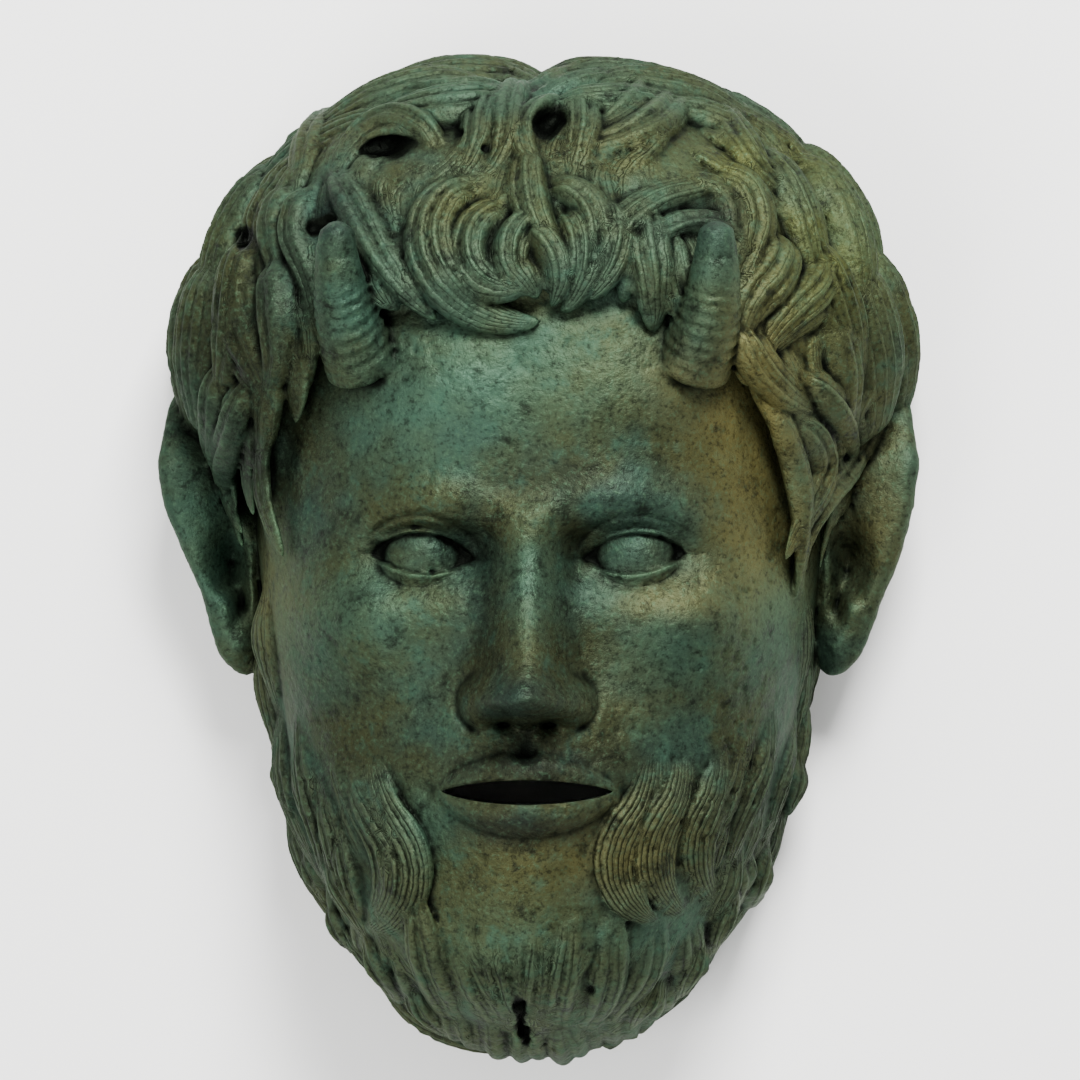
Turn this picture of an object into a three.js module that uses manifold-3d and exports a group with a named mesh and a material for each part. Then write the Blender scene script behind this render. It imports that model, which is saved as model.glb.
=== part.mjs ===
// A bronze mask of a bearded, horned man, cast as one hollow piece and open at the back.
// It lies face up on its flat rim. Millimetres: +Z out of the face, +Y to the crown, +X to viewer's right.
import * as THREE from "three";
import { mergeVertices } from "three/addons/utils/BufferGeometryUtils.js";
import Module from "manifold-3d";

const wasm = await Module();
wasm.setup();

// The bare head under the hair: an egg-shaped dome on the rim plane, round about headCentre.
const headCentre = new THREE.Vector3(0, 35, 0);
const headHalfWidth = 87;
const crownRise = 91;
const jawDrop = 173;
const faceDepth = 112;
const crownOutline = 2.5;
const jawOutline = 2.15;
const profile = { side: 2.5, crown: 3, jaw: 3.2 };
const wall = 4.5;
// The hair's size over the bare head's, at the hairline and at the rim, and the beard's.
const fringeSpread = 1.08;
const hairSpread = 1.195;
const beardSpread = 1.06;

// The face follows the usual thirds: hairline to brow, brow to nose base, nose base to chin.
const hairline = { halfWidth: 75, top: 76, squareness: 3 };
const chinY = -110;
const third = (hairline.top - chinY) / 3;
const browY = hairline.top - third;
const noseBaseY = browY - third;
const mouthY = noseBaseY - third / 3;
const eyeWidth = 31; // a face is five eyes wide
const eyeY = browY - 14;
const eyeballRadius = 14;
const mouthHalfWidth = 27;
const mouthGap = 9;

const hornRootRadius = 12.5;
const hornTipRadius = 5.5;
const hornRings = 5;
const ear = { x: 95, y: -1, z: 26, lean: 14, flare: 24, halfWidth: 16, halfHeight: 38, halfDepth: 9 };

// Facets.
const headSectors = 42;
const headRings = 14;
const cavitySectors = 26;
const cavityRings = 6;
const curlSteps = 6;
const strandSteps = 5;
const backSteps = 4;

const radians = THREE.MathUtils.degToRad;
const bump = (dx, dy, sx, sy) => Math.exp(-((dx / sx) ** 2) - (dy / sy) ** 2);
const ramp = THREE.MathUtils.smoothstep;

// How far out (x, y) lies in the front outline, from 0 at the head's centre to 1 at the rim.
function outlineShare(x, y) {
  const dy = y - headCentre.y;
  const [reach, n] = dy > 0 ? [crownRise, crownOutline] : [jawDrop, jawOutline];
  return (Math.abs(x / headHalfWidth) ** n + Math.abs(dy / reach) ** n) ** (1 / n);
}

// The exponent of the profile from face to rim, which is squarer towards the crown and the jaw.
function profileCurve(x, y) {
  const dy = y - headCentre.y;
  const up = dy / (Math.hypot(x, dy) + 1e-6);
  const crown = (profile.crown - profile.side) * ramp(up, 0, 1);
  const jaw = (profile.jaw - profile.side) * ramp(-up, 0, 1);
  return profile.side + crown + jaw;
}

// 1 on the bare head's surface, and in proportion to the distance from headCentre inside and outside it.
function headGauge(p) {
  const m = profileCurve(p.x, p.y);
  return (outlineShare(p.x, p.y) ** m + Math.abs(p.z / faceDepth) ** m) ** (1 / m);
}

function headNormal(p) {
  const step = 0.5;
  const slope = (axis) => {
    const ahead = p.clone();
    const behind = p.clone();
    ahead[axis] += step;
    behind[axis] -= step;
    return headGauge(ahead) - headGauge(behind);
  };
  return new THREE.Vector3(slope("x"), slope("y"), slope("z")).normalize();
}

// The point seen at (x, y) from the front on the bare head, or on a head spread out from headCentre.
function frontPoint(x, y, spread = 1) {
  const share = outlineShare(x, y) / spread;
  const pull = Math.min(0.997 / share, 1);
  const m = profileCurve(x, y);
  const z = spread * faceDepth * (1 - Math.min(share, 0.997) ** m) ** (1 / m);
  return new THREE.Vector3(x * pull, headCentre.y + (y - headCentre.y) * pull, z);
}

// Over 1 outside the hairline.
function hairShare(x, y) {
  const n = hairline.squareness;
  return (Math.abs(x / hairline.halfWidth) ** n + (Math.max(y, 0) / hairline.top) ** n) ** (1 / n);
}

// The height of the upper edge of the beard across the cheeks and under the lower lip.
function beardLine(x) {
  return -38 - 58 * Math.exp(-((x / 40) ** 4));
}

const hairDepth = (share) => THREE.MathUtils.lerp(fringeSpread, hairSpread, ramp(share, 0.65, 1.05)) - 1;

// How far the hair and the beard spread the head at (x, y), before their locks.
function spreadAt(x, y) {
  const hair = ramp(hairShare(x, y), 0.98, 1.1) * ramp(y, -8, 14);
  const beard = ramp(beardLine(x) - y, 0, 12) * ramp(-y, 0, 130);
  return 1 + hairDepth(outlineShare(x, y)) * hair + (beardSpread - 1) * beard;
}

// What the features of the face add to the dome, straight out of the face.
function faceRelief(x, y) {
  const side = Math.abs(x);
  const eyeX = eyeWidth;
  const browArch = browY + 2 - 6 * ((side - 28) / 26) ** 2;
  const noseShare = THREE.MathUtils.clamp((browY - 6 - y) / (browY - 6 - noseBaseY), 0, 1);
  const noseHalf = THREE.MathUtils.lerp(9, 13, noseShare ** 2);
  const noseRise = 5 + 25 * noseShare ** 1.2;
  const underNose = ramp(y, noseBaseY - 3, noseBaseY + 9);
  return (
    4 * bump(side - 27, y - browArch, 22, 7) +
    3 * bump(side - 25, y - 45, 28, 20) -
    9 * bump(side - eyeX, y - eyeY, 18, 10) -
    4 * bump(side - 15, y - eyeY - 2, 6, 9) +
    6 * bump(side - 52, y + 20, 18, 13) -
    3 * bump(side - 50, y + 58, 16, 18) +
    noseRise * Math.exp(-((side / noseHalf) ** 2.6)) * underNose * ramp(browY + 8 - y, 0, 14) +
    7 * bump(side - 13, y - noseBaseY - 6, 6, 7) +
    12 * bump(side, y - mouthY, 34, 24) +
    16 * bump(side, y - chinY, 40, 26)
  );
}

const spreadOut = (p, spread) => p.sub(headCentre).multiplyScalar(spread).add(headCentre);

function skinPoint(x, y) {
  const p = frontPoint(x, y);
  const relief = faceRelief(x, y) * ramp(p.z, 0, 40);
  return spreadOut(p, spreadAt(x, y)).add(new THREE.Vector3(0, 0, relief));
}

// Turns a three.js geometry into a solid.
function solid(geometry) {
  const bare = geometry.index ? geometry.toNonIndexed() : geometry.clone();
  bare.deleteAttribute("normal");
  bare.deleteAttribute("uv");
  const merged = mergeVertices(bare, 1e-3);
  return new wasm.Manifold(
    new wasm.Mesh({
      numProp: 3,
      vertProperties: merged.attributes.position.array,
      triVerts: new Uint32Array(merged.index.array),
    }),
  );
}

function moveVertices(geometry, place) {
  const positions = geometry.attributes.position;
  const p = new THREE.Vector3();
  for (let i = 0; i < positions.count; i++) {
    const moved = place(p.fromBufferAttribute(positions, i));
    positions.setXYZ(i, moved.x, moved.y, moved.z);
  }
  return geometry;
}

// A disc of rings round the nose, whose edge lies on the rim of the head.
const discCentre = new THREE.Vector2(0, -34);
function rimReach(angle) {
  let near = 0;
  let far = 250;
  for (let i = 0; i < 30; i++) {
    const mid = (near + far) / 2;
    const inside =
      outlineShare(discCentre.x + mid * Math.cos(angle), discCentre.y + mid * Math.sin(angle)) < 1;
    [near, far] = inside ? [mid, far] : [near, mid];
  }
  return near;
}

// A dome over the disc: place(x, y) gives its points, and it is closed below the rim plane at floorZ.
function dome(sectors, rings, crowding, floorZ, place) {
  const profile = [new THREE.Vector2(0, -1), new THREE.Vector2(1, -1)];
  for (let k = rings; k >= 0; k--) profile.push(new THREE.Vector2(k / rings, 0));
  const geometry = moveVertices(new THREE.LatheGeometry(profile, sectors), (p) => {
    const share = Math.hypot(p.x, p.z);
    const angle = Math.atan2(p.x, p.z);
    const spread = THREE.MathUtils.lerp(share, Math.sin((share * Math.PI) / 2), crowding);
    const reach = share > 0.9999 ? rimReach(angle) : spread * rimReach(angle);
    const out = new THREE.Vector2(Math.cos(angle), Math.sin(angle)).multiplyScalar(reach);
    const moved = place(discCentre.x + out.x, discCentre.y + out.y);
    if (p.y < -0.5) moved.z = floorZ;
    return moved;
  });
  // Each four-sided facet folds along its shorter diagonal, so that both halves of the face match.
  const index = geometry.index.array;
  const positions = geometry.attributes.position;
  const corner = (i) => new THREE.Vector3().fromBufferAttribute(positions, i);
  for (let i = 0; i < index.length; i += 6) {
    const [a, b, d, c] = index.slice(i, i + 4);
    const shorter = corner(a).distanceTo(corner(c)) < corner(b).distanceTo(corner(d));
    if (shorter) index.set([a, b, c, a, c, d], i);
  }
  return geometry;
}

// A path over a spread head: seen from the front, it leaves (x, y) on a heading and turns by two bends.
function strokePath(stroke, steps, spreadOver, relief = 0) {
  let [x, y, heading, firstBend, lastBend, length] = stroke;
  const plan = [];
  for (let i = 0; i <= steps; i++) {
    const at = frontPoint(x, y, 1 + spreadOver(x, y));
    at.z += relief * faceRelief(x, y) * ramp(at.z, 0, 40);
    plan.push(at);
    const turn = (i + 0.5 < steps / 2 ? firstBend : lastBend) * (2 / steps);
    x += (length / steps) * Math.cos(radians(heading + turn / 2));
    y += (length / steps) * Math.sin(radians(heading + turn / 2));
    heading += turn;
  }
  return withFrames(plan);
}

// The points of a path with their outward normals and their headings along the surface.
function withFrames(plan) {
  return plan.map((at, i) => {
    const out = headNormal(at);
    const along = plan[Math.min(i + 1, plan.length - 1)].clone().sub(plan[Math.max(i - 1, 0)]);
    return { at, out, along: along.addScaledVector(out, -along.dot(out)).normalize() };
  });
}

// One lock: a three-sided sphere drawn out along a path, full near its root and pointed at its tip.
function lockSolid(path, width, height, fullness = 0.75) {
  const steps = path.length - 1;
  const geometry = new THREE.SphereGeometry(1, 3, steps, Math.PI / 2);
  return solid(
    moveVertices(geometry, (p) => {
      const share = Math.acos(THREE.MathUtils.clamp(p.y, -1, 1)) / Math.PI;
      const { at, along, out } = path[Math.round(share * steps)];
      const side = new THREE.Vector3().crossVectors(out, along);
      const full = Math.sin(Math.PI * share ** fullness) ** 0.7;
      const ridge = p.z > 0.1 ? 1 : 0;
      const across = ridge || Math.abs(p.x) < 1e-4 ? 0 : Math.sign(p.x) * (width / 2) * full;
      return at
        .clone()
        .addScaledVector(side, across)
        .addScaledVector(out, ridge ? height * full : -4);
    }),
  );
}

// The locks round the face: x and y of the root, heading, first and last bend, length and width.
const hairStrokes = [
  [-9, 145, 170, 25, 15, 58, 15],
  [-10, 139, 200, -20, 90, 58, 8],
  [-27, 123, 115, 70, 80, 36, 7],
  [-60, 134, 225, 25, 10, 27, 11],
  [-80, 116, 235, -5, 155, 44, 14],
  [-72, 110, 210, 65, 25, 35, 10],
  [-66, 108, 210, 85, -30, 39, 8],
  [-83, 85, 225, 60, 10, 46, 14],
  [-77, 84, 285, -15, -20, 44, 12],
  [-102, 87, 215, 95, -10, 35, 10],
  [-103, 68, 295, -20, -25, 40, 13],
  [-108, 62, 260, 20, 20, 31, 10],
  [-87, 44, 230, 55, 15, 44, 12],
  [-82, 39, 245, 25, 10, 35, 8],
  [-17, 109, 165, 130, 75, 65, 15],
  [-6, 101, 155, 125, 145, 45, 10],
  [-56, 111, 300, 0, 20, 48, 10],
  [-12, 138, 230, 35, -55, 31, 9],
  [-1, 117, 255, 35, 50, 38, 10],
  [9, 136, 160, 105, 105, 35, 7],
  [43, 137, 280, -80, -15, 34, 11],
  [3, 143, 25, -35, -25, 65, 12],
  [4, 139, 15, -20, -25, 65, 10],
  [53, 134, 300, 5, 35, 39, 11],
  [64, 134, 300, 5, 15, 29, 13],
  [57, 116, 360, -110, -5, 56, 10],
  [56, 109, 350, -115, 45, 45, 10],
  [28, 84, 100, -110, -135, 61, 7],
  [20, 86, 85, -55, -30, 48, 9],
  [7, 109, 25, -95, -95, 37, 10],
  [74, 92, 285, -60, 60, 33, 14],
  [87, 88, 290, -70, 30, 35, 14],
  [63, 66, 265, 50, 25, 31, 12],
  [82, 54, 305, 0, -35, 29, 9],
  [79, 42, 340, -85, -10, 42, 10],
  [72, 45, 295, -15, -20, 54, 7],
  [94, 105, 325, -65, -35, 42, 13],
  [102, 97, 320, -60, -35, 38, 9],
  [107, 84, 295, -50, 30, 44, 10],
  [88, 71, 280, 0, 0, 41, 11],
  [102, 43, 245, -10, 45, 56, 8],
];

function hairLocks() {
  const depth = (x, y) => hairDepth(outlineShare(x, y) / 1.14) * ramp(y, -30, 20);
  return hairStrokes.map((stroke) =>
    lockSolid(strokePath(stroke, curlSteps, depth), stroke[6] + 2, 5 + 0.25 * stroke[6]),
  );
}

// Between those locks and the rim, thick locks overlap in rows from the crown to the ears and the chin.
const backRows = [
  { z: 55, count: 4, from: 5, pitch: 18, width: 27, height: 8 },
  { z: 22, count: 4, from: 12, pitch: 18, width: 27, height: 8 },
  { z: 42, count: 3, from: 108, pitch: 21, width: 24, height: 4 },
  { z: 16, count: 3, from: 116, pitch: 20, width: 22, height: 4 },
];

function backLocks() {
  const locks = [];
  for (const { z, count, from, pitch, width, height } of backRows) {
    for (let i = 0; i < count * 2; i++) {
      const side = i % 2 ? -1 : 1;
      const first = from + pitch * Math.floor(i / 2);
      const plan = [];
      for (let k = 0; k <= backSteps; k++) {
        const share = k / backSteps;
        const angle = radians(90 + side * (first + 1.7 * pitch * share));
        const [x, y] = [Math.cos(angle), headCentre.y + Math.sin(angle)];
        const level = z + 7 * Math.sin(4 * share + i);
        const m = profileCurve(x, y);
        const reach = (1 - (level / faceDepth) ** m) ** (1 / m) / outlineShare(x, y);
        const bare = new THREE.Vector3(x * reach, headCentre.y + (y - headCentre.y) * reach, level);
        plan.push(spreadOut(bare, spreadAt(bare.x, bare.y)));
      }
      locks.push(lockSolid(withFrames(plan), width, height));
    }
  }
  return locks;
}

// On each side a full lock falls from the moustache, whiskers fall by the ear, and the beard is tiered.
function beardLocks() {
  const locks = [];
  for (const side of [-1, 1]) {
    const fall = (x, y, heading, firstBend, lastBend, length, width, height) => {
      const turned = side < 0 ? heading : 180 - heading;
      const stroke = [side * x, y, turned, -side * firstBend, -side * lastBend, length];
      const depth = (px, py) => (beardSpread - 1) * ramp(-py, 0, 130);
      locks.push(lockSolid(strokePath(stroke, strandSteps, depth, 1), width, height, 0.85));
    };
    fall(45, -52, 250, 45, -65, 52, 19, 6);
    for (let i = 0; i < 4; i++) fall(83 - 8 * i, -36 - 6 * i, 263 + i, 18 + 6 * i, -8 * i, 48, 9, 4);
    for (let i = 0; i < 6; i++) fall(70 - 12 * i, -84 - 5 * i, 280 - 2 * i, 5, 0, 28 + 4 * i, 14, 5);
  }
  return locks;
}

// A horn stands up and forward out of the fringe, thick at its root, with raised rings all along it.
function hornSolid(side) {
  const root = new THREE.Vector3(side * 47, 54, 98);
  const bow = new THREE.Vector3(side * 57, 76, 115);
  const tip = new THREE.Vector3(side * 55, 98, 117);
  const line = new THREE.QuadraticBezierCurve3(root, bow, tip);
  const steps = hornRings * 2;
  const geometry = new THREE.SphereGeometry(1, 9, steps);
  return solid(
    moveVertices(geometry, (p) => {
      const share = Math.acos(THREE.MathUtils.clamp(p.y, -1, 1)) / Math.PI;
      const along = line.getTangent(share);
      const out = new THREE.Vector3(0, 0, 1).addScaledVector(along, -along.z).normalize();
      const across = new THREE.Vector3().crossVectors(out, along);
      const ring = Math.round(share * steps) % 2 ? 1.05 : 0.96;
      const onPole = Math.hypot(p.x, p.z) < 1e-4;
      const radius = onPole ? 0 : THREE.MathUtils.lerp(hornRootRadius, hornTipRadius, share ** 1.4) * ring;
      const turn = Math.atan2(p.z, p.x);
      return line
        .getPoint(share)
        .addScaledVector(across, radius * Math.cos(turn))
        .addScaledVector(out, radius * Math.sin(turn));
    }),
  );
}

// An ear stands flat beside the temple: a raised rim, a shallow dish, a deep bowl and a round lobe.
function earSolid(side) {
  const { halfWidth, halfHeight, halfDepth } = ear;
  const place = new THREE.Matrix4().makeTranslation(side * ear.x, ear.y, ear.z);
  place.multiply(new THREE.Matrix4().makeRotationZ(-side * radians(ear.lean)));
  place.multiply(new THREE.Matrix4().makeRotationY(side * radians(ear.flare)));
  const blob = (centre, size) =>
    solid(
      new THREE.SphereGeometry(1, 10, 6)
        .scale(...size)
        .translate(side * centre[0], centre[1], centre[2])
        .applyMatrix4(place),
    );
  const shell = blob([0, 4, 0], [halfWidth, halfHeight, halfDepth]);
  const dish = blob([1, 4, halfDepth + 2], [halfWidth - 5, halfHeight - 9, 6]);
  const lobe = blob([-6, -28, 0], [9, 12, 8]);
  const bowl = blob([-3, -6, halfDepth], [5, 10, 12]);
  return shell.subtract(dish).add(lobe).subtract(bowl);
}

// The eyeball and its two lids, each lid a band that follows the ball from corner to corner.
function eyeSolids(side) {
  const x = side * eyeWidth;
  const z = frontPoint(x, eyeY).z + faceRelief(x, eyeY);
  const ballCentre = new THREE.Vector3(x, eyeY, z - eyeballRadius + 6);
  const ball = new THREE.SphereGeometry(eyeballRadius, 12, 7).rotateX(Math.PI / 2);
  const parts = [solid(ball.translate(...ballCentre))];
  for (const [arch, width] of [[6.5, 5], [-5, 4]]) {
    const path = [];
    for (let i = 0; i <= curlSteps; i++) {
      const share = (2 * i) / curlSteps - 1;
      const offset = new THREE.Vector3(share * eyeWidth * 0.52, arch * (1 - share ** 2), 0);
      offset.z = Math.sqrt(Math.max((eyeballRadius + 1) ** 2 - offset.x ** 2 - offset.y ** 2, 0));
      const out = offset.clone().normalize();
      path.push({ at: ballCentre.clone().add(offset), along: new THREE.Vector3(1, 0, 0), out });
    }
    parts.push(lockSolid(path, width, 1.5, 1));
  }
  return parts;
}

// A lip is one full form from corner to corner.
function lip(offsetY, sag, width) {
  const path = [];
  for (let i = 0; i <= curlSteps; i++) {
    const share = (2 * i) / curlSteps - 1;
    const x = share * mouthHalfWidth;
    const y = mouthY + offsetY * (1 - share ** 2) + sag * share ** 2;
    const at = frontPoint(x, y);
    at.z += faceRelief(x, y) + 1;
    path.push({ at, along: new THREE.Vector3(1, 0, 0), out: new THREE.Vector3(0, 0, 1) });
  }
  return lockSolid(path, width, 4.5, 1);
}

function mouthSlit() {
  return solid(
    new THREE.SphereGeometry(1, 16, 8)
      .scale(mouthHalfWidth - 3, mouthGap / 2, 60)
      .translate(0, mouthY, faceDepth - 5),
  );
}

// The hollow follows the head, its hair, its eye sockets and its nose, about one wall inside them.
function cavity() {
  const hollow = (x, y) => {
    const p = frontPoint(x, y);
    const out = headNormal(p);
    const hair = ramp(hairShare(x, y), 1, 1.15) * ramp(y, 0, 20);
    const socket = -15 * bump(Math.abs(x) - eyeWidth, y - eyeY, 24, 17);
    const nose = 13 * bump(x, y - noseBaseY - 14, 9, 17);
    const jaw = 12 * bump(x, y - mouthY + 20, 38, 34);
    const beard = (beardSpread - 1) * ramp(-y, 40, 130);
    return spreadOut(p, 1 + hairDepth(outlineShare(x, y)) * hair + beard)
      .addScaledVector(out, -wall)
      .add(new THREE.Vector3(0, 0, socket + nose + jaw));
  };
  return solid(dome(cavitySectors, cavityRings, 0.6, -20, hollow));
}

const block = (width, height, depth, x, y, z) =>
  solid(new THREE.BoxGeometry(width, height, depth).translate(x, y, z));

function maskGeometry() {
  const head = solid(dome(headSectors, headRings, 0.4, -10, skinPoint));
  const raised = [
    head,
    ...hairLocks(),
    ...backLocks(),
    ...beardLocks(),
    lip(3.2 + mouthGap / 2, 1, 8),
    lip(-4 - mouthGap / 2, -1, 10),
    ...[-1, 1].flatMap((side) => [hornSolid(side), earSolid(side), ...eyeSolids(side)]),
  ];
  const belowRim = block(400, 500, 100, 0, 0, -50);
  const cut = [cavity(), mouthSlit(), belowRim];
  const made = cut.reduce(
    (whole, part) => whole.subtract(part),
    raised.reduce((whole, part) => whole.add(part)),
  );
  const mesh = made.getMesh();
  const geometry = new THREE.BufferGeometry();
  geometry.setAttribute("position", new THREE.BufferAttribute(mesh.vertProperties, 3));
  geometry.setIndex(new THREE.BufferAttribute(mesh.triVerts, 1));
  // The part's origin is under the middle of its box, on the rim plane.
  geometry.computeBoundingBox();
  const middle = geometry.boundingBox.getCenter(new THREE.Vector3());
  return geometry.translate(-middle.x, -middle.y, 0);
}

const bronze = new THREE.MeshStandardMaterial({ color: 0x46594a, roughness: 0.6, metalness: 0.4 });
const mask = new THREE.Mesh(maskGeometry(), bronze);
mask.name = "pan_mask";
const part = new THREE.Group();
part.add(mask);

export default part;
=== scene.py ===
import math
import random

import bmesh
import bpy
import numpy as np
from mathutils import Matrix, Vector, kdtree


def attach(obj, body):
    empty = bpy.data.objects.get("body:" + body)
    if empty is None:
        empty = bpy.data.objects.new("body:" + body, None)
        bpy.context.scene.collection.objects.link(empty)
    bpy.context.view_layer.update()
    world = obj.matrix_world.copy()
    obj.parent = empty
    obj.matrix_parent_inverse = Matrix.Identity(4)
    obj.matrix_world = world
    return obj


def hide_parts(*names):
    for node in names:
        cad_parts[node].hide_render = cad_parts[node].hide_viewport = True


# A hollow cast bronze mask of a bearded, horned man, lying face up on its back rim.
# It is modelled in millimetres (+X to the viewer's right, +Y to the crown, +Z out of the face)
# and turned to metres when its mesh is finished.

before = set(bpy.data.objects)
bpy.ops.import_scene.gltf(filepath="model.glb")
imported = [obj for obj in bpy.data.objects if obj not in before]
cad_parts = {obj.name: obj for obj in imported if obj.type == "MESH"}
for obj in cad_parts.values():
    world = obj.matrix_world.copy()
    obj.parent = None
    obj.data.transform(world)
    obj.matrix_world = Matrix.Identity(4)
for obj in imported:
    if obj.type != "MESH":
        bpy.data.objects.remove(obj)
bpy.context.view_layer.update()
mm = 0.001

# The bare head under the hair: an egg-shaped dome on the rim plane.
head = {
    "centreY": 35.0,
    "halfWidth": 87.0,
    "crownRise": 91.0,
    "jawDrop": 173.0,
    "depth": 112.0,
    "crownOutline": 2.5,  # exponents of the outline, 2 is an ellipse
    "jawOutline": 2.15,
    "sideProfile": 2.5,  # exponents of the profile from face to rim
    "crownProfile": 3.0,
    "jawProfile": 3.2,
    "wall": 4.5,
    "fringeSpread": 1.08,  # the hair's size over the bare head's, at the hairline and at the rim
    "hairSpread": 1.195,
    "beardSpread": 1.06,
    "earRoomTop": 40.0,  # below this, the hair leaves room for the ears
    "hairlineHalfWidth": 75.0,
    "hairlineTop": 76.0,
    "hairlineSquareness": 3.0,
    "nearRim": 0.997,  # how far out in the outline the front reaches
    "ballSteps": 8,  # subdivisions of the balls that the head and its hollow start from
    "hollowSteps": 6,
    "shiftY": 0.14,  # puts the middle of the mask over the origin
}

# The face follows the usual thirds: hairline to brow, brow to nose base, nose base to chin.
chinY = -110.0
third = (head["hairlineTop"] - chinY) / 3
browY = head["hairlineTop"] - third
noseBaseY = browY - third
mouthY = noseBaseY - third / 3
face = {
    "eyeWidth": 31.0,  # a face is five eyes wide
    "eyeY": browY - 14,
    "eyeballRadius": 14.0,
    "eyeballRise": 6.0,
    "eyeHalfLength": 15.5,
    "upperLid": 6.8,
    "lowerLid": 5.0,
    "lidThickness": 1.8,
    "mouthHalfWidth": 27.0,
    "slitHalfWidth": 25.0,
    "mouthGap": 7.4,
    "upperLip": 7.5,  # heights and fullnesses of the lips
    "lowerLip": 9.5,
    "upperFullness": 3.2,
    "lowerFullness": 4.0,
    "bridgeY": browY - 6,
    "noseHalfWidth": (9.0, 13.0),  # at the bridge and at the base
    "noseRise": (5.0, 30.0),
}

casting = {
    "grain": 0.62,  # voxel that fuses the modelled forms into one skin
    "skirt": 6.0,  # what is modelled below the rim, and then cut off
    "triangles": 202000,  # asked for before the hollow is cut
    "slab": (400.0, 500.0, 40.0),  # cuts off what is below the rim
    "smoothing": 0.35,
    "seed": 7,
}


def ramp(value, low, high):
    share = np.clip((value - low) / (high - low), 0, 1)
    return share * share * (3 - 2 * share)


def peak(distance, size):
    return np.exp(-((distance / size) ** 2))


def bump(dx, dy, sx, sy):
    return np.exp(-((dx / sx) ** 2) - (dy / sy) ** 2)


# Rounded forms on both sides: rise, distance from the middle line, y, half width and half height.
def formsAt(forms, x, y):
    side = np.abs(x)
    return sum(rise * bump(side - fx, y - fy, sx, sy) for rise, fx, fy, sx, sy in forms.values())


def mix(a, b, share):
    return a + (b - a) * share


def unit(vectors):
    return vectors / np.maximum(np.linalg.norm(vectors, axis=-1, keepdims=True), 1e-9)


# Smooth random values from -1 to 1 at points, which change over about one size.
def cloud(points, size, seed):
    at = points / size + 37.7 * seed
    cell = np.floor(at)
    within = at - cell
    blend = within * within * (3 - 2 * within)
    total = np.zeros(len(points))
    for corner in range(8):
        step = np.array([corner & 1, corner >> 1 & 1, corner >> 2 & 1])
        spin = np.sin((cell + step) @ np.array([12.9898, 78.233, 37.719])) * 43758.5453
        weight = np.prod(np.where(step, blend, 1 - blend), axis=1)
        total += weight * (2 * (spin - np.floor(spin)) - 1)
    return total


# How far out (x, y) lies in the front outline, from 0 at the head's centre to 1 at the rim.
def outlineShare(x, y):
    dy = y - head["centreY"]
    above = dy > 0
    reach = np.where(above, head["crownRise"], head["jawDrop"])
    n = np.where(above, head["crownOutline"], head["jawOutline"])
    return (np.abs(x / head["halfWidth"]) ** n + np.abs(dy / reach) ** n) ** (1 / n)


# The exponent of the profile from face to rim, which is squarer towards the crown and the jaw.
def profileCurve(x, y):
    dy = y - head["centreY"]
    up = dy / (np.hypot(x, dy) + 1e-6)
    crown = (head["crownProfile"] - head["sideProfile"]) * ramp(up, 0, 1)
    jaw = (head["jawProfile"] - head["sideProfile"]) * ramp(-up, 0, 1)
    return head["sideProfile"] + crown + jaw


# 1 on the bare head's surface, and in proportion to the distance from its centre elsewhere.
def headGauge(p):
    m = profileCurve(p[:, 0], p[:, 1])
    share = outlineShare(p[:, 0], p[:, 1])
    return (share**m + np.abs(p[:, 2] / head["depth"]) ** m) ** (1 / m)


def headNormal(p):
    step = 0.5
    slopes = []
    for axis in np.eye(3) * step:
        slopes.append(headGauge(p + axis) - headGauge(p - axis))
    return unit(np.stack(slopes, axis=1))


# The points seen at (x, y) from the front on the bare head, or on a head spread out from its centre.
def frontPoint(x, y, spread=1.0):
    share = outlineShare(x, y) / spread
    pull = np.minimum(head["nearRim"] / np.maximum(share, 1e-6), 1)
    m = profileCurve(x, y)
    z = spread * head["depth"] * (1 - np.minimum(share, head["nearRim"]) ** m) ** (1 / m)
    return np.stack([x * pull, head["centreY"] + (y - head["centreY"]) * pull, z], axis=-1)


# Over 1 outside the hairline.
def hairShare(x, y):
    n = head["hairlineSquareness"]
    side = np.abs(x / head["hairlineHalfWidth"]) ** n
    return (side + (np.maximum(y, 0) / head["hairlineTop"]) ** n) ** (1 / n)


# The height of the upper edge of the beard across the cheeks and under the lower lip.
def beardLine(x):
    return -38 - 58 * np.exp(-((x / 40) ** 4))


def hairDepth(share):
    return mix(head["fringeSpread"], head["hairSpread"], ramp(share, 0.65, 1.05)) - 1


def overBeard(x, y):
    return (head["beardSpread"] - 1) * ramp(-y, 0, 130) * ramp(beardLine(x) - y, -2, 32)


# How far the hair and the beard spread the head at (x, y), before their locks.
def spreadAt(x, y):
    hair = ramp(hairShare(x, y), 0.98, 1.1) * ramp(y, -8, 14)
    hair = hair * (1 - ramp(outlineShare(x, y), 0.84, 0.95) * ramp(head["earRoomTop"] - y, 0, 14))
    return 1 + hairDepth(outlineShare(x, y)) * hair + overBeard(x, y)


broadForms = {
    "forehead": (3, 25, 45, 28, 20),
    "eyeSocket": (-9, face["eyeWidth"], face["eyeY"], 18, 10),
    "eyeCorner": (-4, 15, face["eyeY"] + 2, 6, 9),
    "cheekbone": (6, 52, -20, 18, 13),
    "cheekHollow": (-3, 50, -58, 16, 18),
    "noseWing": (7, 13, noseBaseY + 6, 6, 7),
    "muzzle": (12, 0, mouthY, 34, 24),
    "chin": (16, 0, chinY, 40, 26),
}


def browArch(side):
    return browY - 6 * ((side - 28) / 26) ** 2


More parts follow.
